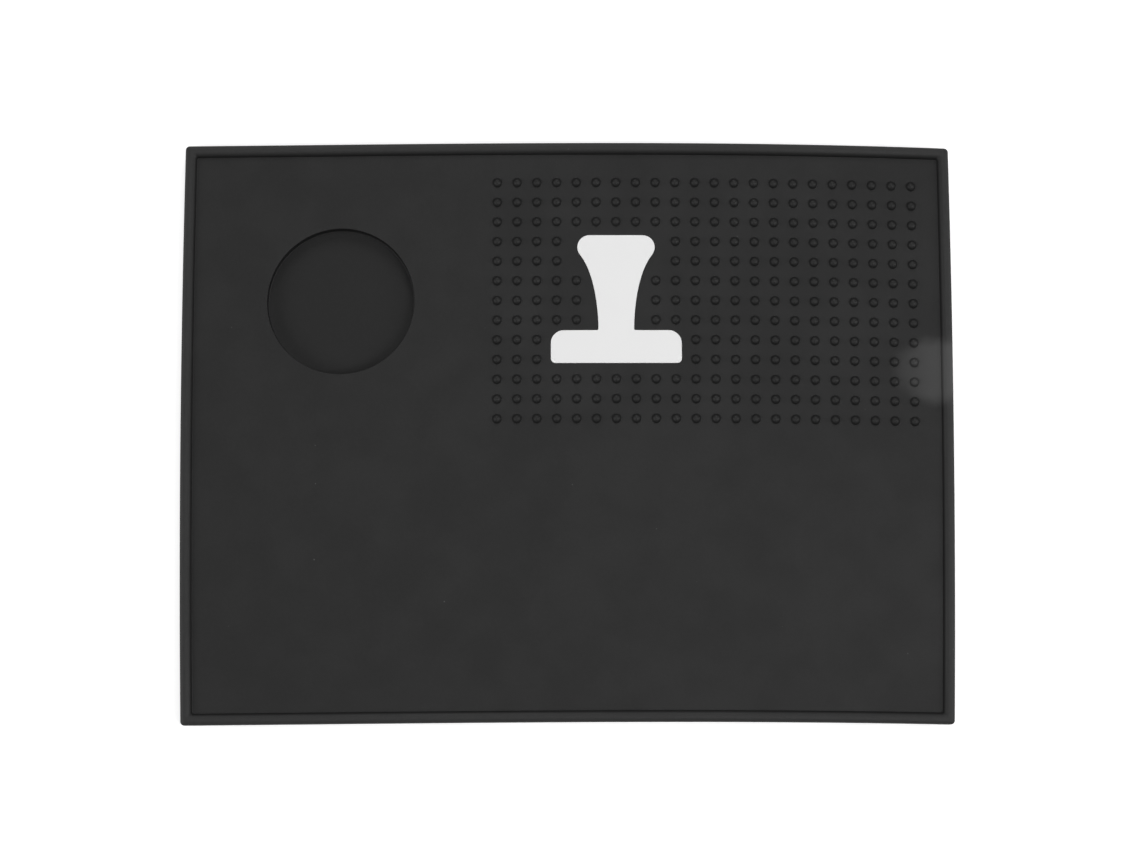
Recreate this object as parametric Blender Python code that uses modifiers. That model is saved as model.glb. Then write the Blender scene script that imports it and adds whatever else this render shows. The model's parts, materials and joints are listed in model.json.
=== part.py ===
"""Barista tamping mat: a rubber sheet with a raised rim, a round seat for a tamper,
a field of small nubs and a flush pictogram set into the nubs.

Metres, +Z up. The origin is on the underside, below the middle of the mat.
+X runs along the length, away from the seat, and +Y across the width, towards the nubs.
"""
import math

import bmesh
import bpy
from mathutils import Matrix, Vector
from mathutils.geometry import interpolate_bezier, intersect_point_line

# Sheet and rim
MAT_LENGTH = 0.310
MAT_WIDTH = 0.234
SEAT_FLOOR = 0.0018             # rubber left under the tamper's seat
SEAT_DEPTH = 0.0054
RIM_RISE = 0.0024               # rim above the working surface
RIM_WIDTH = 0.0047              # mat's edge to the foot of the rim's inner side
RIM_SHOULDER = 0.0021           # rounding of the rim's inner edge
RIM_ROUND = 0.0014              # rounding of the rim's outer edge
UNDERSIDE_ROUND = 0.0004
OUTER_CORNER = 0.0016           # plan radius
INNER_CORNER = 0.0008           # plan radius

# Seat for a 58 mm tamper base
TAMPER_DIAMETER = 0.058
SEAT_CLEARANCE = 0.0005         # all round the tamper
SEAT_LIP = 0.0003               # flare where the wall meets the working surface
SEAT_FILLET = 0.0005            # wall to floor, within the tamper's clearance
SEAT_TO_END = 0.0341            # seat's edge to the mat's short edge
SEAT_TO_SIDE = 0.0344           # seat's edge to the mat's long edge

# Nubs
NUB_DIAMETER = 0.0040
NUB_SHOULDER_DIAMETER = 0.0028
NUB_HEIGHT = 0.0017
NUB_SHOULDER_HEIGHT = 0.0012
NUB_PITCH = 0.0080
NUBS_TO_END = 0.0156            # last column to the mat's short edge
NUBS_TO_SIDE = 0.0162           # first row to the mat's long edge
NUBS_TO_SEAT = 0.0325           # seat's edge to the nearest column, at least
BARE_WIDTH = 0.1190             # plain strip along the other long edge, at least
NUB_TO_INLAY = 0.0015           # nub's edge to the pictogram, at least

# Pictogram of a tamper, base down
INLAY_THICKNESS = 0.0010
INLAY_GAP = 0.0003              # between the inlay and its pocket, all round and below
INLAY_HEIGHT = 0.0520
INLAY_TO_SIDE = 0.0377          # its top to the mat's long edge
INLAY_TO_END = 0.1355           # its centre line to the mat's short edge, to the nearest column
BASE_WIDTH = 0.0527
BASE_HEIGHT = 0.0133
BASE_FOOT_CORNER = 0.0018
BASE_TOP_CORNER = 0.0052
NECK_WIDTH = 0.0144
NECK_LENGTH = 0.0009             # straight part, above its fillet's foot
NECK_FILLET = 0.0006
HANDLE_WIDTH = 0.0313
HANDLE_CORNER = 0.0049
HANDLE_LEAN = math.radians(38)   # of the hollow side, where it meets the handle's round corner
SIDE_BELOW = 0.10                # how long the side stays upright, as a share of its height
SIDE_ABOVE = 0.38                # how long it keeps the lean, as a share of its height

# Fineness
SEAT_SIDES = 64
NUB_SIDES = 8
CORNER_STEPS = 4
SIDE_STEPS = 24
ROUND_STEPS = 3
SHOULDER_STEPS = 5
CHORD_ERROR = 0.00003           # how far an arc's straight steps stray from it
OVERCUT = 0.0010                # how far cutters and nub roots pass a surface

# What follows from the sizes above
FIELD_HEIGHT = SEAT_FLOOR + SEAT_DEPTH
MAT_HEIGHT = FIELD_HEIGHT + RIM_RISE
SEAT_RADIUS = TAMPER_DIAMETER / 2 + SEAT_CLEARANCE
SEAT_X = -MAT_LENGTH / 2 + SEAT_TO_END + SEAT_RADIUS
SEAT_Y = MAT_WIDTH / 2 - SEAT_TO_SIDE - SEAT_RADIUS
LAST_COLUMN_X = MAT_LENGTH / 2 - NUBS_TO_END
FIRST_ROW_Y = MAT_WIDTH / 2 - NUBS_TO_SIDE
INLAY_COLUMN = round((INLAY_TO_END - NUBS_TO_END) / NUB_PITCH)
INLAY_X = LAST_COLUMN_X - INLAY_COLUMN * NUB_PITCH
INLAY_Y = MAT_WIDTH / 2 - INLAY_TO_SIDE - INLAY_HEIGHT
POCKET_FLOOR = FIELD_HEIGHT - INLAY_THICKNESS - INLAY_GAP


def clear_scene():
    for item in list(bpy.data.objects):
        bpy.data.objects.remove(item, do_unlink=True)


def new_collection(name):
    collection = bpy.data.collections.new(name)
    bpy.context.scene.collection.children.link(collection)
    return collection


def new_object(name, mesh, collection):
    item = bpy.data.objects.new(name, mesh)
    collection.objects.link(item)
    return item


def mesh_from(name, shape):
    """Turn a bmesh into a mesh, and free it."""
    mesh = bpy.data.meshes.new(name)
    bmesh.ops.recalc_face_normals(shape, faces=shape.faces)
    shape.to_mesh(mesh)
    shape.free()
    return mesh


def plain_material(name, colour, roughness):
    material = bpy.data.materials.new(name)
    material.use_nodes = True
    shader = material.node_tree.nodes["Principled BSDF"]
    shader.inputs["Base Color"].default_value = (*colour, 1.0)
    shader.inputs["Roughness"].default_value = roughness
    shader.inputs["Metallic"].default_value = 0.0
    return material


def black_rubber():
    return plain_material("black_rubber", (0.028, 0.028, 0.029), 0.72)


def white_rubber():
    return plain_material("white_rubber", (0.80, 0.80, 0.79), 0.60)


def as_tool(item):
    """Keep a cutter, or a solid that is joined on, out of the finished model."""
    item.hide_render = True
    item.display_type = "WIRE"


def combine(item, tool, operation):
    change = item.modifiers.new(tool.name, "BOOLEAN")
    change.operation = operation
    change.solver = "EXACT"
    change.object = tool


def smooth(mesh, angle):
    mesh.shade_smooth()
    mesh.set_sharp_from_angle(angle=angle)


# ---- sheet and rim ----

def box_with_round_corners(length, width, bottom, top, radius):
    """A box whose four upright edges are rounded."""
    shape = bmesh.new()
    place = Matrix.Translation((0.0, 0.0, (bottom + top) / 2))
    bmesh.ops.create_cube(shape, matrix=place @ Matrix.Diagonal((length, width, top - bottom, 1.0)))
    upright = [edge for edge in shape.edges if edge.verts[0].co.xy == edge.verts[1].co.xy]
    bmesh.ops.bevel(shape, geom=upright, offset=radius, segments=CORNER_STEPS,
                    profile=0.5, affect="EDGES")
    return shape


def round_edges(shape, height, inside, radius, steps):
    """Round the closed run of edges at one height, on the tray's side or the outer side."""
    reach = Vector((MAT_LENGTH / 2 - RIM_WIDTH / 2, MAT_WIDTH / 2 - RIM_WIDTH / 2))
    chosen = []
    for edge in shape.edges:
        level = all(abs(vertex.co.z - height) < 1e-6 for vertex in edge.verts)
        in_tray = all(abs(vertex.co.x) < reach.x and abs(vertex.co.y) < reach.y
                      for vertex in edge.verts)
        if level and in_tray == inside and edge.calc_face_angle(0.0) > math.radians(60):
            chosen.append(edge)
    bmesh.ops.bevel(shape, geom=chosen, offset=radius, segments=steps,
                    profile=0.5, affect="EDGES")


def make_sheet(collection, tools):
    """The plain sheet with its raised, rounded rim."""
    mesh = mesh_from("mat_body", box_with_round_corners(
        MAT_LENGTH, MAT_WIDTH, 0.0, MAT_HEIGHT, OUTER_CORNER))
    sheet = new_object("mat_body", mesh, collection)
    tray = new_object("tray_cutter", mesh_from("tray_cutter", box_with_round_corners(
        MAT_LENGTH - 2 * RIM_WIDTH, MAT_WIDTH - 2 * RIM_WIDTH,
        FIELD_HEIGHT, MAT_HEIGHT + OVERCUT, INNER_CORNER)), tools)
    as_tool(tray)
    combine(sheet, tray, "DIFFERENCE")
    bpy.context.view_layer.update()

    shape = bmesh.new()
    shape.from_object(sheet, bpy.context.evaluated_depsgraph_get())
    round_edges(shape, MAT_HEIGHT, True, RIM_SHOULDER, SHOULDER_STEPS)
    round_edges(shape, MAT_HEIGHT, False, RIM_ROUND, ROUND_STEPS)
    round_edges(shape, 0.0, False, UNDERSIDE_ROUND, ROUND_STEPS)
    sheet.modifiers.clear()
    sheet.data = mesh_from("mat_body", shape)
    bpy.data.objects.remove(tray, do_unlink=True)
    return sheet


# ---- seat ----

def arc(centre, radius, start, end):
    """Points along a circle's arc, both ends included."""
    widest_step = 2 * math.acos(1 - CHORD_ERROR / radius)
    steps = math.ceil(abs(end - start) / widest_step)
    points = []
    for i in range(steps + 1):
        angle = start + (end - start) * i / steps
        points.append(Vector((centre.x + radius * math.cos(angle),
                              centre.y + radius * math.sin(angle))))
    return points


def make_seat_cutter(collection):
    """A turned disc that flares at the working surface and is rounded where it meets the floor."""
    flare = SEAT_RADIUS + SEAT_LIP + OVERCUT
    wall = [Vector((0.0, FIELD_HEIGHT + OVERCUT)), Vector((flare, FIELD_HEIGHT + OVERCUT)),
            Vector((SEAT_RADIUS, FIELD_HEIGHT - SEAT_LIP))]
    foot = Vector((SEAT_RADIUS - SEAT_FILLET, SEAT_FLOOR + SEAT_FILLET))
    outline = wall + arc(foot, SEAT_FILLET, 0.0, -math.pi / 2) + [Vector((0.0, SEAT_FLOOR))]
    mesh = bpy.data.meshes.new("seat_cutter")
    points = [(point.x, 0.0, point.y) for point in outline]
    mesh.from_pydata(points, [(i, i + 1) for i in range(len(points) - 1)], [])
    cutter = new_object("seat_cutter", mesh, collection)
    cutter.location = (SEAT_X, SEAT_Y, 0.0)
    turn = cutter.modifiers.new("turn", "SCREW")
    turn.axis = "Z"
    turn.steps = SEAT_SIDES
    turn.render_steps = SEAT_SIDES
    turn.use_merge_vertices = True
    turn.merge_threshold = 0.00001
    as_tool(cutter)
    return cutter


# ---- pictogram ----

def handle_side(start, end, grow):
    """The handle's hollow side, upright at its start and leaning out at its end."""
    rise = end.y - start.y
    slant = Vector((math.sin(HANDLE_LEAN), math.cos(HANDLE_LEAN)))
    below = start + Vector((0.0, SIDE_BELOW * rise))
    above = end - SIDE_ABOVE * rise * slant
    side = interpolate_bezier(start, below, above, end, SIDE_STEPS + 1)
    points = []
    for i, point in enumerate(side):
        along = (side[min(i + 1, SIDE_STEPS)] - side[max(i - 1, 0)]).normalized()
        points.append(Vector((point.x + grow * along.y, point.y - grow * along.x)))
    return points


def half_pictogram(grow):
    """The right-hand side, from the foot up to the handle's top, moved outwards by grow.

    The origin is the middle of the foot.
    """
    base, neck, handle = BASE_WIDTH / 2, NECK_WIDTH / 2, HANDLE_WIDTH / 2
    foot = Vector((base - BASE_FOOT_CORNER, BASE_FOOT_CORNER))
    brow = Vector((base - BASE_TOP_CORNER, BASE_HEIGHT - BASE_TOP_CORNER))
    fillet = Vector((neck + NECK_FILLET, BASE_HEIGHT + NECK_FILLET))
    crown = Vector((handle - HANDLE_CORNER, INLAY_HEIGHT - HANDLE_CORNER))
    start = Vector((neck, BASE_HEIGHT + NECK_LENGTH))
    end = crown + HANDLE_CORNER * Vector((math.cos(HANDLE_LEAN), -math.sin(HANDLE_LEAN)))
    quarter = math.pi / 2
    return (arc(foot, BASE_FOOT_CORNER + grow, -quarter, 0.0)
            + arc(brow, BASE_TOP_CORNER + grow, 0.0, quarter)
            + arc(fillet, NECK_FILLET - grow, 3 * quarter, math.pi)
            + handle_side(start, end, grow)
            + arc(crown, HANDLE_CORNER + grow, -HANDLE_LEAN, quarter)[1:])


def pictogram(grow):
    right = half_pictogram(grow)
    left = [Vector((-point.x, point.y)) for point in reversed(right)]
    return right + left


def make_flat_solid(name, outline, bottom, top, collection):
    """Extrude a closed outline from bottom to top."""
    shape = bmesh.new()
    sheet = shape.faces.new([shape.verts.new((point.x, point.y, bottom)) for point in outline])
    made = bmesh.ops.extrude_face_region(shape, geom=[sheet], use_keep_orig=True)
    lifted = [item for item in made["geom"] if isinstance(item, bmesh.types.BMVert)]
    bmesh.ops.translate(shape, verts=lifted, vec=(0.0, 0.0, top - bottom))
    bmesh.ops.recalc_face_normals(shape, faces=shape.faces)
    solid = new_object(name, mesh_from(name, shape), collection)
    solid.location = (INLAY_X, INLAY_Y, 0.0)
    return solid


def make_inlay(collection):
    """The white pictogram, flush with the working surface."""
    inlay = make_flat_solid("tamper_inlay", pictogram(0.0),
                            FIELD_HEIGHT - INLAY_THICKNESS, FIELD_HEIGHT, collection)
    smooth(inlay.data, math.radians(30))
    return inlay


def make_pocket_cutter(collection):
    """The inlay's pocket, larger than the inlay by its gap."""
    cutter = make_flat_solid("pocket_cutter", pictogram(INLAY_GAP),
                             POCKET_FLOOR, FIELD_HEIGHT + OVERCUT, collection)
    as_tool(cutter)
    return cutter


# ---- nubs ----

def distance_to_outline(point, outline):
    """How far a point lies outside a closed outline: 0 for a point inside it."""
    inside = False
    nearest = math.inf
    for start, end in zip(outline, outline[1:] + outline[:1]):
        foot, share = intersect_point_line(point, start, end)
        foot = start.lerp(end, min(max(share, 0.0), 1.0))
        nearest = min(nearest, (point - foot.xy).length)
        if (start.y > point.y) != (end.y > point.y):
            crossing = start.x + (point.y - start.y) * (end.x - start.x) / (end.y - start.y)
            if crossing > point.x:
                inside = not inside
    return 0.0 if inside else nearest


def nub_places():
    """A square grid beside the seat, without the nubs that would crowd the pictogram."""
    seat_edge = SEAT_X + SEAT_RADIUS
    columns = math.floor((LAST_COLUMN_X - seat_edge - NUBS_TO_SEAT) / NUB_PITCH) + 1
    rows = math.floor((FIRST_ROW_Y + MAT_WIDTH / 2 - BARE_WIDTH) / NUB_PITCH) + 1
    outline = pictogram(0.0)
    room = NUB_DIAMETER / 2 + NUB_TO_INLAY
    places = []
    for row in range(rows):
        for column in range(columns):
            place = Vector((LAST_COLUMN_X - column * NUB_PITCH, FIRST_ROW_Y - row * NUB_PITCH))
            if distance_to_outline(place - Vector((INLAY_X, INLAY_Y)), outline) > room:
                places.append(place)
    return places


def add_nub(shape, place):
    """One low domed nub, rooted in the sheet."""
    slope = (NUB_DIAMETER - NUB_SHOULDER_DIAMETER) / 2 / NUB_SHOULDER_HEIGHT
    root = FIELD_HEIGHT - OVERCUT
    shoulder = FIELD_HEIGHT + NUB_SHOULDER_HEIGHT
    centre = Matrix.Translation((place.x, place.y, (root + shoulder) / 2))
    made = bmesh.ops.create_cone(shape, cap_ends=True, segments=NUB_SIDES,
                                 radius1=NUB_DIAMETER / 2 + slope * OVERCUT,
                                 radius2=NUB_SHOULDER_DIAMETER / 2,
                                 depth=shoulder - root, matrix=centre)
    caps = {face for vertex in made["verts"] for face in vertex.link_faces
            if len(face.verts) == NUB_SIDES and face.calc_center_median().z > FIELD_HEIGHT}
    bmesh.ops.poke(shape, faces=list(caps), offset=NUB_HEIGHT - NUB_SHOULDER_HEIGHT)


def make_nubs(collection):
    shape = bmesh.new()
    for place in nub_places():
        add_nub(shape, place)
    nubs = new_object("nubs", mesh_from("nubs", shape), collection)
    as_tool(nubs)
    return nubs


def make_mat(collection, tools):
    """The black moulding: sheet, rim, seat, pocket and nubs in one body."""
    mat = make_sheet(collection, tools)
    combine(mat, make_seat_cutter(tools), "DIFFERENCE")
    combine(mat, make_pocket_cutter(tools), "DIFFERENCE")
    combine(mat, make_nubs(tools), "UNION")
    smooth(mat.data, math.radians(40))
    return mat


def main():
    clear_scene()
    model = new_collection("tamping_mat")
    tools = new_collection("cutters")
    make_mat(model, tools).data.materials.append(black_rubber())
    make_inlay(model).data.materials.append(white_rubber())


main()
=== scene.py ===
"""The finished look of the tamping mat: fine moulding, inlay, rubber, light and camera.

Metres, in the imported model's frame: +X along the mat, +Y towards the nubs, +Z up.
"""
import json
import math

import bmesh
import bpy
from mathutils import Euler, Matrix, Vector
from mathutils.geometry import delaunay_2d_cdt


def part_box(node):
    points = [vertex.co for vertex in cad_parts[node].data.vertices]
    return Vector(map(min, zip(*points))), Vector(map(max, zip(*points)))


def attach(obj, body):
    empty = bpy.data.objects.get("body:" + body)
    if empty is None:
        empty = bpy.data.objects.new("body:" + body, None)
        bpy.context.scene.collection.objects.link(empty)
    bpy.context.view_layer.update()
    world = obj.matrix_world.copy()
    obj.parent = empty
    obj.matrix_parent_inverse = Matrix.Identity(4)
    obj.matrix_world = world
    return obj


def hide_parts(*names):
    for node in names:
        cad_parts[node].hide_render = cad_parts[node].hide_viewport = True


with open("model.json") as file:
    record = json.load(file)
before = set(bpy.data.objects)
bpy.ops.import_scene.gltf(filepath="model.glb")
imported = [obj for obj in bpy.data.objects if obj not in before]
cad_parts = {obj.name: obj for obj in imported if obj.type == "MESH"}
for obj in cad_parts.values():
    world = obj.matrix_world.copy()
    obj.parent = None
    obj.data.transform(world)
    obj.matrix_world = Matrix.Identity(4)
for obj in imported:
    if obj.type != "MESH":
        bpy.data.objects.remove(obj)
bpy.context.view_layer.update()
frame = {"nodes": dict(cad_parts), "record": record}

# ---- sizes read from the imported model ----

MOUNTS = {mount["name"]: mount for mount in frame["record"]["mounts"]}
MAT_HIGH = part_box("mat_body")[1]
HALF_LENGTH = MAT_HIGH.x
HALF_WIDTH = MAT_HIGH.y
RIM_TOP = MAT_HIGH.z
FIELD = MOUNTS["working_surface"]["pos_m"][2]
SEAT = Vector(MOUNTS["tamper_seat"]["pos_m"])

# ---- sizes of the fine surface ----

UNDER_ROUND = 0.0005            # rounding along the underside's edge
CREST_INSET = 0.0019            # mat's edge to the rim's crest
CREST_DROP = 0.0015             # how far below the crest the outer wall begins
OUTER_DRAFT = 0.0001            # how far the outer wall leans in over its height
SHOULDER_START = 0.0023         # mat's edge to where the rim's inner shoulder begins
SHOULDER_END = 0.0047           # mat's edge to the shoulder's foot
FOOT_FILLET = 0.0003
OUTER_CORNER = 0.0016
INNER_CORNER = 0.0009
SIDE_STEP = 0.006               # spacing of points along the rim
CORNER_STEPS = 8
UNDER_STEPS = 4
CREST_STEPS = 8
SHOULDER_STEPS = 9
FOOT_STEPS = 3
INSIDE_WITH_HOLES = 2           # which triangles the triangulation keeps
SAME_POINT = 0.000002           # points closer than this are welded
SAME_CAD_POINT = 0.000005       # the same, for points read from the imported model
SAME_SPOT = 0.0000001           # the same, inside the triangulation
LEVEL_FACE = 0.9                # a CAD face whose normal rises more than this is level
UPRIGHT_FACE = 0.1              # and one whose normal rises less than this is upright
NEARLY = 0.9                    # share of a CAD height that counts as reaching it

SEAT_SIDES = 160
SEAT_LIP = 0.0003
LIP_STEPS = 4
SEAT_FILLET = 0.0005
SEAT_FILLET_STEPS = 3
SEAT_FLOOR_RINGS = (0.9, 0.7, 0.45, 0.2)  # shares of the seat's radius

NUB_SIDES = 28
FILLET_STEPS = 4
DOME_STEPS = 8
NUB_FOOT = 0.0022               # radius where the fillet meets the sheet
NUB_FILLET = 0.0004
NUB_HEIGHT = 0.0017

POCKET_DEPTH = 0.0006
POCKET_GAP = 0.0001
INLAY_EDGE = 0.00012            # rounding of the inlay's edge, and of the pocket's
INLAY_RISE = 0.00004            # the inlay's face above the working surface

# ---- sizes of the finish ----

MOULDED_PLACE = "moulded_place"  # attribute that keeps each point's place in the true sheet
BLACK_GREYS = (0.0155, 0.0177)  # working surface, from its darkest clouds to its palest
BLACK_ROUGHNESS = (0.54, 0.46)
BLACK_SHEEN = 0.18
RIM_GREY = 0.0262
# painted shade: the seat's floor and wall, darker than the working surface around them
SEAT_SHADE_GREY = 0.0134
# painted glare: grey of a pale patch of stray light on the rubber at the nubs' end
GLARE_GREY = 0.075
DUST_GREY = 0.06
WHITE_GREYS = (0.755, 0.775)
WHITE_ROUGHNESS = (0.58, 0.50)
WHITE_SHEEN = 0.3
PAINTED_FLANK_SHADE = 0.25              # painted shade: share of the rubber's grey that upright faces lose
FLANK_TURN = (0.90, 0.35)       # how far up or down a face looks where that starts, and is full
UNDER_TURN = (-0.9, -0.3)       # the same, from the plain underside to the finish above
GRAIN_SIZE = 0.00035
GRAIN_HEIGHT = 0.00001
GRAIN_DETAIL = 3.0              # layers of finer noise in grain, clouds and mottling
CLOUD_SIZE = 0.018
CLOUD_SPREAD = (0.3, 0.7)       # noise levels that give the darkest and the palest clouds
EVEN_SPREAD = (0.25, 0.75)      # the same, for the roughness and for the mottling
MOTTLE_SIZE = 0.0014
MOTTLE = 0.045                  # how far the mottling goes either side of the rubber's grey
DUST_SPACING = 0.017
DUST_CHANCE = 0.10
DUST_RADIUS = 0.0003
GLARE_TO_END = 0.007            # middle of the painted glare to the nubs' end of the mat
GLARE_TO_SIDE = 0.0913          # and to the side beside the nubs
GLARE_HALF = (0.0158, 0.0128)
GLARE_EDGE = (1.2, 0.74)        # shares of those half sizes where it starts, and is full
GLARE_PATCHY = 0.3              # how far noise shifts that edge, in the same shares
GLARE_DETAIL = 2.0
GLARE_REACH = 0.021             # over this far from the mat's end it weakens
GLARE_STRENGTH = (0.32, 0.66)   # this far in, and at the mat's end

# ---- stage, light and camera ----

FLOOR_SIZE = 3.0
FLOOR_DROP = 0.0001             # below the underside, so that the two don't flicker
FLOOR_GREY = 0.85
FLOOR_ROUGHNESS = 0.9
FLOOR_LIFT = 0.45               # light that the floor adds only where it is looked at
FLOOR_FADE = (0.5, 1.2)         # distances over which it turns plain white, past the lamps

WORLD_STRENGTH = 0.15
LAMP_DISTANCE = 1.6
LAMP_SIZE = 0.7

# Soft lamps, none straight from the near side: name, azimuth, elevation, watts
LAMPS = [
    ("overhead", 90.0, 85.0, 3.0),
    ("far", 90.0, 40.0, 7.0),
    ("right", 0.0, 30.0, 6.8),
    ("near_right", 330.0, 58.0, 8.0),
    ("left", 180.0, 30.0, 5.7),
    ("near_left", 210.0, 35.0, 5.8),
]

# Camera: nearly straight above, a little towards the near edge
LENS = 100.0                    # millimetres, as is the sensor's width
SENSOR_WIDTH = 36.0
CAMERA_PLACE = (-0.0305, -0.1134, 1.2795)
CAMERA_TURN = (5.214, -1.398, -0.079)

# ---- gentle bow of the soft sheet as it lies, in its own plane ----

BOW = 0.00154
BOW_WIDENING = 0.00034
BOW_LEAN = 0.48
BULGE = 0.0011


def settle(point):
    """Where a point of the true sheet lies once the soft mat has been put down."""
    along = point.x / HALF_LENGTH
    across = point.y / HALF_WIDTH
    bow = (BOW + BOW_WIDENING * across) * (1 - along ** 2) * (1 + BOW_LEAN * along)
    bulge = BULGE * along * (1 - across ** 2)
    return Vector((point.x + bulge, point.y + bow, point.z))


# ---- outlines ----

def circle(centre, radius, sides, height):
    return [Vector((centre.x + radius * math.cos(math.tau * i / sides),
                    centre.y + radius * math.sin(math.tau * i / sides),
                    height)) for i in range(sides)]


def mat_ring(inset, height):
    """Points round the mat, anticlockwise, at one inset from its edge.

    Every ring has as many points as the next, so rings join with plain quads.
    """
    share = min(inset / SHOULDER_END, 1.0)
    radius = OUTER_CORNER + (INNER_CORNER - OUTER_CORNER) * share
    reach = Vector((HALF_LENGTH - inset - radius, HALF_WIDTH - inset - radius))
    turns = [(1, 1), (-1, 1), (-1, -1), (1, -1)]
    ring = []
    for quarter, (side_x, side_y) in enumerate(turns):
        centre = Vector((side_x * reach.x, side_y * reach.y))
        for step in range(CORNER_STEPS + 1):
            angle = math.pi / 2 * (quarter + step / CORNER_STEPS)
            ring.append(Vector((centre.x + radius * math.cos(angle),
                                centre.y + radius * math.sin(angle), height)))
        next_x, next_y = turns[(quarter + 1) % 4]
        start = ring[-1]
        run = Vector(((next_x - side_x) * reach.x, (next_y - side_y) * reach.y, 0.0))
        side = 2 * (HALF_LENGTH if quarter % 2 == 0 else HALF_WIDTH)
        steps = round(side / SIDE_STEP)
        ring += [start + run * (i / steps) for i in range(1, steps)]
    return ring


def inlay_outline():
    """The pictogram's outline, anticlockwise, walked along the CAD inlay's upper edge."""
    shape = bmesh.new()
    shape.from_mesh(frame["nodes"]["tamper_inlay"].data)
    bmesh.ops.remove_doubles(shape, verts=shape.verts, dist=SAME_CAD_POINT)
    shape.normal_update()
    nexts = {}
    for face in shape.faces:
        if face.normal.z < LEVEL_FACE:
            continue
        for loop in face.loops:
            other = loop.link_loop_radial_next.face
            if abs(other.normal.z) < UPRIGHT_FACE:
                nexts[loop.vert] = loop.link_loop_next.vert
    start = next(iter(nexts))
    outline = [start.co.xy.copy()]
    step = nexts[start]
    while step is not start:
        outline.append(step.co.xy.copy())
        step = nexts[step]
    shape.free()
    return outline


def grown(outline, distance):
    """An anticlockwise outline moved outwards by a distance."""
    moved = []
    for i, point in enumerate(outline):
        before = (point - outline[i - 1]).normalized()
        after = (outline[(i + 1) % len(outline)] - point).normalized()
        out = Vector((before.y + after.y, -before.x - after.x))
        moved.append(point + out * (distance * 2 / out.length_squared))
    return moved


def lifted(outline, height):
    return [Vector((point.x, point.y, height)) for point in outline]


def nub_centres():
    """The tops of the CAD nubs: the only points of the tray above a nub's shoulder."""
    inside = Vector((HALF_LENGTH - SHOULDER_END, HALF_WIDTH - SHOULDER_END))
    tops = set()
    for vertex in frame["nodes"]["mat_body"].data.vertices:
        place = vertex.co
        in_tray = abs(place.x) < inside.x and abs(place.y) < inside.y
        if in_tray and place.z > FIELD + NEARLY * NUB_HEIGHT:
            tops.add((round(place.x, 5), round(place.y, 5)))
    return [Vector(top) for top in sorted(tops)]


def seat_radius():
    """The seat's wall in the CAD mat, met between the fillet below it and the flare above it."""
    mesh = frame["nodes"]["mat_body"].data
    return min((vertex.co.xy - SEAT.xy).length for vertex in mesh.vertices
               if SEAT.z + NEARLY * SEAT_FILLET < vertex.co.z < FIELD - NEARLY * SEAT_LIP)


# ---- building with rings ----

def add_rings(shape, rings, tip=None):
    """Quads between rings of equal length. With a tip the last ring is closed by a fan."""
    made = [[shape.verts.new(point) for point in ring] for ring in rings]
    for lower, upper in zip(made, made[1:]):
        for i in range(len(lower)):
            j = (i + 1) % len(lower)
            shape.faces.new((lower[i], lower[j], upper[j], upper[i]))
    if tip:
        last = made[-1]
        hub = shape.verts.new(tip)
        for i in range(len(last)):
            shape.faces.new((last[i], last[(i + 1) % len(last)], hub))


def quarter_turn(start, end, steps, upright_first=False):
    """A profile's elliptic quarter turn. It sets off level, or upright, and ends the other way."""
    points = []
    for i in range(steps + 1):
        angle = math.pi / 2 * i / steps
        across, along = math.sin(angle), 1 - math.cos(angle)
        if upright_first:
            across, along = 1 - math.cos(angle), math.sin(angle)
        points.append((start[0] + (end[0] - start[0]) * across,
                       start[1] + (end[1] - start[1]) * along))
    return points


def add_flat(shape, outer, holes, height, spots, faces_up=True):
    """A level surface inside one outline and outside others, with spare points spread over it."""
    points = [point.xy for point in outer]
    border = [list(range(len(outer)))]
    edges = []
    for hole in holes:
        first = len(points)
        points += [point.xy for point in hole]
        edges += [(first + i, first + (i + 1) % len(hole)) for i in range(len(hole))]
    places, _, triangles, _, _, _ = delaunay_2d_cdt(
        points + spots, edges, border, INSIDE_WITH_HOLES, SAME_SPOT)
    made = [shape.verts.new((place.x, place.y, height)) for place in places]
    for triangle in triangles:
        order = triangle if faces_up else reversed(triangle)
        shape.faces.new([made[i] for i in order])
    for vertex in made:
        if not vertex.link_faces:
            shape.verts.remove(vertex)


def spread_points(origin, step):
    """A square grid of points over the whole mat, through one point."""
    reach = Vector((HALF_LENGTH - 2 * SHOULDER_END, HALF_WIDTH - 2 * SHOULDER_END))
    first = Vector((origin.x - step * math.floor((origin.x + reach.x) / step),
                    origin.y - step * math.floor((origin.y + reach.y) / step)))
    columns = math.floor((reach.x - first.x) / step) + 1
    rows = math.floor((reach.y - first.y) / step) + 1
    return [Vector((first.x + i * step, first.y + j * step))
            for i in range(columns) for j in range(rows)]


def finished(name, shape, material):
    """Weld, settle and smooth a piece, and let it ride on the mat."""
    bmesh.ops.remove_doubles(shape, verts=shape.verts, dist=SAME_POINT)
    moulded = shape.verts.layers.float_vector.new(MOULDED_PLACE)
    for vertex in shape.verts:
        vertex[moulded] = vertex.co
        vertex.co = settle(vertex.co)
    mesh = bpy.data.meshes.new(name)
    shape.to_mesh(mesh)
    shape.free()
    mesh.shade_smooth()
    mesh.materials.append(material)
    piece = bpy.data.objects.new(name, mesh)
    bpy.context.scene.collection.objects.link(piece)
    even = piece.modifiers.new("even_shading", "WEIGHTED_NORMAL")
    even.mode = "FACE_AREA"
    even.weight = 100
    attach(piece, "root")
    return piece


# ---- the moulding ----

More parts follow.
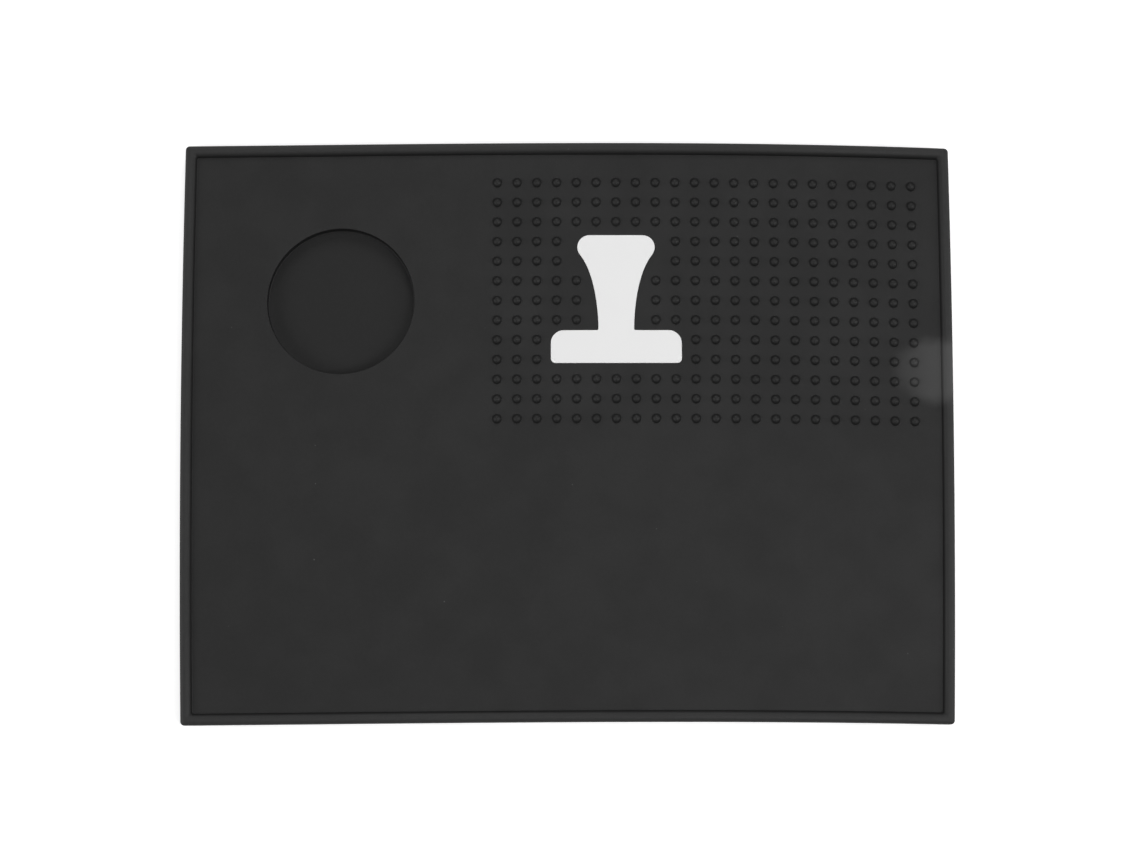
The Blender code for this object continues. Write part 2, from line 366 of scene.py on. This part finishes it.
def rim_profile():
    """(inset, height) from the underside, up the outer wall and down into the tray."""
    shoulder_foot = FIELD + FOOT_FILLET
    under = quarter_turn((UNDER_ROUND, 0.0), (0.0, UNDER_ROUND), UNDER_STEPS)
    crest = quarter_turn((OUTER_DRAFT, RIM_TOP - CREST_DROP), (CREST_INSET, RIM_TOP),
                         CREST_STEPS, upright_first=True)
    shoulder = quarter_turn((SHOULDER_START, RIM_TOP), (SHOULDER_END, shoulder_foot),
                            SHOULDER_STEPS)
    foot = quarter_turn((SHOULDER_END, shoulder_foot), (SHOULDER_END + FOOT_FILLET, FIELD),
                        FOOT_STEPS, upright_first=True)
    return under + crest + shoulder + foot[1:]


def seat_profile():
    """(radius, height) from the lip's outer edge, down the wall and in over the floor."""
    radius = seat_radius()
    lip = quarter_turn((radius + SEAT_LIP, FIELD), (radius, FIELD - SEAT_LIP), LIP_STEPS)
    fillet = quarter_turn((radius, SEAT.z + SEAT_FILLET), (radius - SEAT_FILLET, SEAT.z),
                          SEAT_FILLET_STEPS, upright_first=True)
    floor = [(radius * share, SEAT.z) for share in SEAT_FLOOR_RINGS]
    return lip + fillet + floor


def nub_profile():
    """(radius, height) from the sheet up a hollow fillet and over a round dome, near to its top.

    The two arcs meet where both are steepest.
    """
    steepest = 2 * math.atan(NUB_HEIGHT / NUB_FOOT)
    dome_radius = NUB_FOOT / math.sin(steepest) - NUB_FILLET
    fillet = [steepest * i / FILLET_STEPS for i in range(FILLET_STEPS + 1)]
    dome = [steepest * i / DOME_STEPS for i in range(DOME_STEPS - 1, 0, -1)]
    return ([(NUB_FOOT - NUB_FILLET * math.sin(tilt),
              FIELD + NUB_FILLET * (1 - math.cos(tilt))) for tilt in fillet]
            + [(dome_radius * math.sin(tilt),
                FIELD + NUB_HEIGHT - dome_radius * (1 - math.cos(tilt))) for tilt in dome])


def make_moulding(material):
    """Rim, underside, working surface, seat, pocket and nubs as one closed skin."""
    shape = bmesh.new()
    rim = [mat_ring(inset, height) for inset, height in rim_profile()]
    add_rings(shape, rim)

    seat = [circle(SEAT, radius, SEAT_SIDES, height) for radius, height in seat_profile()]
    add_rings(shape, seat, tip=SEAT)

    mouth = grown(inlay_outline(), POCKET_GAP + INLAY_EDGE)
    wall = grown(inlay_outline(), POCKET_GAP)
    pocket = [lifted(mouth, FIELD), lifted(wall, FIELD - INLAY_EDGE),
              lifted(wall, FIELD - POCKET_DEPTH)]
    add_rings(shape, pocket)
    add_flat(shape, pocket[-1], [], FIELD - POCKET_DEPTH, [])

    centres = nub_centres()
    profile = nub_profile()
    feet = []
    for centre in centres:
        rings = [circle(centre, radius, NUB_SIDES, height) for radius, height in profile]
        add_rings(shape, rings, tip=Vector((centre.x, centre.y, FIELD + NUB_HEIGHT)))
        feet.append(rings[0])

    step = min(abs(other.y - centres[0].y) for other in centres[1:]
               if other.x == centres[0].x)
    spots = spread_points(centres[0] + Vector((step / 2, step / 2)), step)
    add_flat(shape, rim[-1], [seat[0], pocket[0]] + feet, FIELD, spots)
    add_flat(shape, rim[0], [], 0.0, spots, faces_up=False)
    return finished("mat_moulding", shape, material)


# ---- the inlay ----

def make_inlay(material):
    """The white pictogram with softened edges, level with the working surface."""
    shape = bmesh.new()
    outline = inlay_outline()
    top = FIELD + INLAY_RISE
    foot = FIELD - POCKET_DEPTH + POCKET_GAP
    rings = [lifted(outline, foot), lifted(outline, top - INLAY_EDGE)]
    rings += [lifted(grown(outline, -inset), height) for inset, height in quarter_turn(
        (0.0, top - INLAY_EDGE), (INLAY_EDGE, top), 3, upright_first=True)[1:]]
    add_rings(shape, rings)
    add_flat(shape, rings[-1], [], top, [])
    add_flat(shape, rings[0], [], foot, [], faces_up=False)
    return finished("tamper_pictogram", shape, material)


# ---- materials ----

def new_material(name):
    material = bpy.data.materials.new(name)
    material.use_nodes = True
    return material, material.node_tree, material.node_tree.nodes["Principled BSDF"]


def node(tree, kind, sockets, **settings):
    """A shader node whose sockets, by name or number, take a value or another node's output."""
    made = tree.nodes.new(kind)
    for name, value in settings.items():
        setattr(made, name, value)
    for key, value in sockets.items():
        if isinstance(value, bpy.types.NodeSocket):
            tree.links.new(value, made.inputs[key])
        else:
            made.inputs[key].default_value = value
    return made


def maths(tree, operation, *values):
    return node(tree, "ShaderNodeMath", dict(enumerate(values)), operation=operation).outputs[0]


def ramp(tree, value, start, end, low=0.0, high=1.0):
    """A soft step from low to high while a value goes from start to end."""
    return node(tree, "ShaderNodeMapRange", {
        "Value": value, "From Min": start, "From Max": end, "To Min": low, "To Max": high,
    }, interpolation_type="SMOOTHSTEP").outputs["Result"]


def noise(tree, place, size, detail):
    """Noise between 0 and 1 whose lumps are about one size."""
    return node(tree, "ShaderNodeTexNoise", {
        "Vector": place, "Scale": 1 / size, "Detail": detail}).outputs["Fac"]


def blend(tree, share, first, second):
    """The first colour turning into the second as share goes from 0 to 1."""
    return node(tree, "ShaderNodeMix", {0: share, 6: first, 7: second},
                data_type="RGBA").outputs[2]


def grey(level):
    return (level, level, level, 1.0)


def moulded_place(tree):
    """A point's place in the true sheet, so that the finish bends with the mat."""
    return node(tree, "ShaderNodeAttribute", {}, attribute_name=MOULDED_PLACE).outputs["Vector"]


def rim_share(tree, place):
    """1 on the rim, 0 in the tray."""
    parts = node(tree, "ShaderNodeSeparateXYZ", {0: place})
    past_x = maths(tree, "SUBTRACT", maths(tree, "ABSOLUTE", parts.outputs["X"]), HALF_LENGTH)
    past_y = maths(tree, "SUBTRACT", maths(tree, "ABSOLUTE", parts.outputs["Y"]), HALF_WIDTH)
    return ramp(tree, maths(tree, "MAXIMUM", past_x, past_y), -SHOULDER_END, -SHOULDER_START)


def round_share(tree, place, centre, radius, softness):
    """1 within a radius of an upright line, 0 beyond it."""
    flat = node(tree, "ShaderNodeVectorMath", {0: place, 1: (1.0, 1.0, 0.0)},
                operation="MULTIPLY").outputs["Vector"]
    distance = node(tree, "ShaderNodeVectorMath", {0: flat, 1: (centre.x, centre.y, 0.0)},
                    operation="DISTANCE").outputs["Value"]
    return ramp(tree, distance, radius + softness, radius - softness)


def facing_up(tree):
    """1 on faces that look straight up, 0 on upright ones, -1 on the underside."""
    normal = node(tree, "ShaderNodeNewGeometry", {}).outputs["Normal"]
    return node(tree, "ShaderNodeSeparateXYZ", {0: normal}).outputs["Z"]


def upright_share(tree):
    """1 on upright faces, 0 on level ones."""
    return ramp(tree, maths(tree, "ABSOLUTE", facing_up(tree)), *FLANK_TURN)


def above_share(tree, share):
    """A share as it is, but 0 on the underside."""
    return maths(tree, "MULTIPLY", ramp(tree, facing_up(tree), *UNDER_TURN), share)


def dust_share(tree, place):
    """1 on a few specks of dust: the middles of some cells of a loose pattern."""
    cells = node(tree, "ShaderNodeTexVoronoi", {"Vector": place, "Scale": 1 / DUST_SPACING},
                 voronoi_dimensions="2D")
    chance = node(tree, "ShaderNodeSeparateColor", {0: cells.outputs["Color"]})
    chosen = maths(tree, "LESS_THAN", chance.outputs["Red"], DUST_CHANCE)
    size = maths(tree, "MULTIPLY", chance.outputs["Green"], DUST_RADIUS / DUST_SPACING)
    speck = maths(tree, "LESS_THAN", cells.outputs["Distance"], size)
    return maths(tree, "MULTIPLY", chosen, speck)


def painted_glare_share(tree, place):
    """Painted glare, a pale patch of stray light: strongest at the nubs' end of the mat, soft at
    its edge.
    """
    middle = (HALF_LENGTH - GLARE_TO_END, HALF_WIDTH - GLARE_TO_SIDE, 0.0)
    away = node(tree, "ShaderNodeVectorMath", {0: place, 1: middle}, operation="SUBTRACT")
    scaled = node(tree, "ShaderNodeVectorMath", {
        0: away.outputs["Vector"], 1: (1 / GLARE_HALF[0], 1 / GLARE_HALF[1], 0.0),
    }, operation="MULTIPLY")
    distance = node(tree, "ShaderNodeVectorMath", {0: scaled.outputs["Vector"]},
                    operation="LENGTH").outputs["Value"]
    patchy = maths(tree, "MULTIPLY_ADD", noise(tree, place, CLOUD_SIZE / 3, GLARE_DETAIL),
                   GLARE_PATCHY, -GLARE_PATCHY / 2)
    patch = ramp(tree, maths(tree, "ADD", distance, patchy), *GLARE_EDGE)
    along = node(tree, "ShaderNodeSeparateXYZ", {0: place}).outputs["X"]
    strength = ramp(tree, along, HALF_LENGTH - GLARE_REACH, HALF_LENGTH, *GLARE_STRENGTH)
    return maths(tree, "MULTIPLY", patch, strength)


def add_grain(tree, shader, place, size, height):
    """The fine even grain that a blasted mould leaves."""
    bump = node(tree, "ShaderNodeBump", {
        "Height": noise(tree, place, size, GRAIN_DETAIL), "Distance": height, "Strength": 1.0})
    tree.links.new(bump.outputs["Normal"], shader.inputs["Normal"])


def black_rubber():
    """Matt black rubber: fine grain, clouds, a paler rim, painted shade in the seat, painted
    glare, dust.

    Upright faces are darker: this is painted shade.
    """
    material, tree, shader = new_material("moulded_black_rubber")
    place = moulded_place(tree)
    clouds = noise(tree, place, CLOUD_SIZE, GRAIN_DETAIL)
    rim = above_share(tree, rim_share(tree, place))
    # painted shade in the seat's recess
    seat = above_share(tree, round_share(tree, place, SEAT, seat_radius(), SEAT_FILLET))
    # painted glare: a pale patch of stray light near the nubs' end of the mat
    painted_glare = above_share(tree, painted_glare_share(tree, place))
    dust = above_share(tree, dust_share(tree, place))
    dark, pale = BLACK_GREYS
    colour = blend(tree, ramp(tree, clouds, *CLOUD_SPREAD), grey(dark), grey(pale))
    colour = blend(tree, rim, colour, grey(RIM_GREY))
    colour = blend(tree, seat, colour, grey(SEAT_SHADE_GREY))
    mottle = ramp(tree, noise(tree, place, MOTTLE_SIZE, GRAIN_DETAIL), *EVEN_SPREAD,
                  1 - MOTTLE, 1 + MOTTLE)
    colour = node(tree, "ShaderNodeVectorMath", {0: colour, "Scale": mottle},
                  operation="SCALE").outputs["Vector"]
    colour = blend(tree, painted_glare, colour, grey(GLARE_GREY))
    # painted shade on upright faces: rim shoulders, nub flanks, seat wall and outer wall
    shade = maths(tree, "MULTIPLY", upright_share(tree), PAINTED_FLANK_SHADE)
    colour = blend(tree, shade, colour, grey(0.0))
    colour = blend(tree, dust, colour, grey(DUST_GREY))
    tree.links.new(colour, shader.inputs["Base Color"])
    roughness = ramp(tree, clouds, *EVEN_SPREAD, *BLACK_ROUGHNESS)
    tree.links.new(roughness, shader.inputs["Roughness"])
    shader.inputs["Specular IOR Level"].default_value = BLACK_SHEEN
    add_grain(tree, shader, place, GRAIN_SIZE, GRAIN_HEIGHT)
    return material


def white_rubber():
    """Smooth white rubber with the faintest cloudiness."""
    material, tree, shader = new_material("inlaid_white_rubber")
    place = moulded_place(tree)
    clouds = noise(tree, place, CLOUD_SIZE, GRAIN_DETAIL)
    dark, pale = WHITE_GREYS
    tree.links.new(blend(tree, clouds, grey(dark), grey(pale)), shader.inputs["Base Color"])
    roughness = ramp(tree, clouds, *EVEN_SPREAD, *WHITE_ROUGHNESS)
    tree.links.new(roughness, shader.inputs["Roughness"])
    shader.inputs["Specular IOR Level"].default_value = WHITE_SHEEN
    add_grain(tree, shader, place, GRAIN_SIZE, GRAIN_HEIGHT / 3)
    return material


# ---- floor, lamps and camera ----

def make_floor():
    """A white table that keeps the mat's shadow and looks white to the camera."""
    mesh = bpy.data.meshes.new("floor")
    shape = bmesh.new()
    bmesh.ops.create_grid(shape, x_segments=1, y_segments=1, size=FLOOR_SIZE)
    shape.to_mesh(mesh)
    shape.free()
    floor = bpy.data.objects.new("floor", mesh)
    floor.location.z = -FLOOR_DROP
    bpy.context.scene.collection.objects.link(floor)
    material, tree, shader = new_material("white_table")
    shader.inputs["Base Color"].default_value = grey(FLOOR_GREY)
    shader.inputs["Roughness"].default_value = FLOOR_ROUGHNESS
    shader.inputs["Specular IOR Level"].default_value = 0.0
    shader.inputs["Emission Color"].default_value = grey(1.0)
    rays = node(tree, "ShaderNodeLightPath", {})
    seen = maths(tree, "MAXIMUM", rays.outputs["Is Camera Ray"], rays.outputs["Is Glossy Ray"])
    seen = maths(tree, "MAXIMUM", seen, rays.outputs["Is Transmission Ray"])
    place = node(tree, "ShaderNodeNewGeometry", {}).outputs["Position"]
    away = node(tree, "ShaderNodeVectorMath", {0: place}, operation="LENGTH").outputs["Value"]
    lift = ramp(tree, away, *FLOOR_FADE, FLOOR_LIFT, 1.0)
    tree.links.new(maths(tree, "MULTIPLY", seen, lift), shader.inputs["Emission Strength"])
    mesh.materials.append(material)


def add_lamp(name, azimuth, elevation, power):
    """A soft square lamp that faces the mat from a direction, in degrees."""
    turn, rise = math.radians(azimuth), math.radians(elevation)
    place = LAMP_DISTANCE * Vector((math.cos(turn) * math.cos(rise),
                                    math.sin(turn) * math.cos(rise), math.sin(rise)))
    data = bpy.data.lights.new(name, "AREA")
    data.shape = "SQUARE"
    data.size = LAMP_SIZE
    data.energy = power
    lamp = bpy.data.objects.new(name, data)
    lamp.location = place
    lamp.rotation_euler = (-place).to_track_quat("-Z", "Y").to_euler()
    bpy.context.scene.collection.objects.link(lamp)


def make_light():
    """Soft lamps and a dim even sky, which is plain white where the camera sees it.

    Its reflections stay dim, because matt rubber is all that there is to mirror it.
    """
    world = bpy.data.worlds.new("studio")
    world.use_nodes = True
    tree = world.node_tree
    background = tree.nodes["Background"]
    background.inputs["Color"].default_value = grey(1.0)
    seen = node(tree, "ShaderNodeLightPath", {}).outputs["Is Camera Ray"]
    tree.links.new(maths(tree, "MAXIMUM", seen, WORLD_STRENGTH), background.inputs["Strength"])
    bpy.context.scene.world = world
    for name, azimuth, elevation, power in LAMPS:
        add_lamp(name, azimuth, elevation, power)


def make_camera():
    data = bpy.data.cameras.new("camera")
    data.lens = LENS
    data.sensor_width = SENSOR_WIDTH
    camera = bpy.data.objects.new("camera", data)
    camera.location = CAMERA_PLACE
    camera.rotation_euler = Euler([math.radians(angle) for angle in CAMERA_TURN])
    bpy.context.scene.collection.objects.link(camera)
    bpy.context.scene.camera = camera


def main():
    moulding = make_moulding(black_rubber())
    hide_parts("mat_body")
    pictogram = make_inlay(white_rubber())
    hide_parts("tamper_inlay")
    make_floor()
    make_light()
    make_camera()
    bpy.context.scene.view_settings.view_transform = "Standard"


main()
